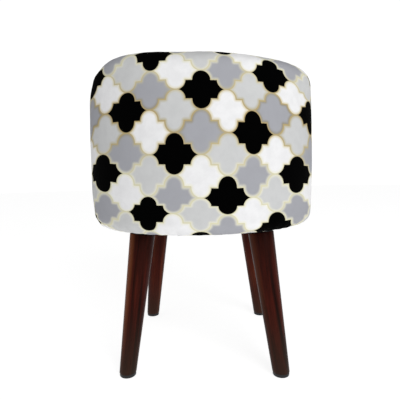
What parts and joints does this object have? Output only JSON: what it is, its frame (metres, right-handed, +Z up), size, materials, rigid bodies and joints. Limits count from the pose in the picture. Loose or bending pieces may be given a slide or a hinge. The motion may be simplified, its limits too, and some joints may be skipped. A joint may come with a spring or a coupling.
{
  "type": "footstool",
  "caption": "Round upholstered footstool: a cloth-covered padded drum with a crowned top on splayed tapered wooden legs.",
  "frame": {"origin": "on the floor, on the drum's vertical axis", "axes": "+Z up; the front of the stool faces -Y, with the butt joint of the wall at +Y; the legs stand on the diagonals between X and Y"},
  "size_m": [0.36, 0.36, 0.455],
  "materials": {
    "cover_cloth": "matte printed upholstery cloth with a black, grey and white quatrefoil trellis outlined in gold",
    "lining_cloth": "black non-woven lining",
    "foam": "cut upholstery foam",
    "leg_wood": "dark reddish-brown stain under satin varnish",
    "post_wood": "sawn softwood",
    "plywood": "sanded plywood",
    "hardboard": "pressed hardboard",
    "plate_steel": "zinc-plated pressed steel",
    "zinc_steel": "zinc-plated steel",
    "bright_steel": "bright steel wire",
    "glide_plastic": "black moulded plastic"
  },
  "bodies": {
    "root": {"leg_front_left": "leg_wood", "leg_front_right": "leg_wood", "leg_back_left": "leg_wood", "leg_back_right": "leg_wood", "leg_plate_front_left": "plate_steel", "leg_plate_front_right": "plate_steel", "leg_plate_back_left": "plate_steel", "leg_plate_back_right": "plate_steel", "glide_front_left": "glide_plastic", "glide_front_right": "glide_plastic", "glide_back_left": "glide_plastic", "glide_back_right": "glide_plastic", "post_front": "post_wood", "post_left": "post_wood", "post_back": "post_wood", "post_right": "post_wood", "hanger_bolts": "zinc_steel", "plate_screws": "zinc_steel", "glide_nails": "bright_steel", "post_screws": "zinc_steel", "wall_tacks": "bright_steel", "hem_staples_group": "bright_steel", "lining_staples_group": "bright_steel", "base_board": "plywood", "top_board": "plywood", "wall_panel": "hardboard", "side_padding": "foam", "seat_pad": "foam", "cover_side": "cover_cloth", "cover_crown": "cover_cloth", "lining": "lining_cloth"}
  },
  "joints": []
}
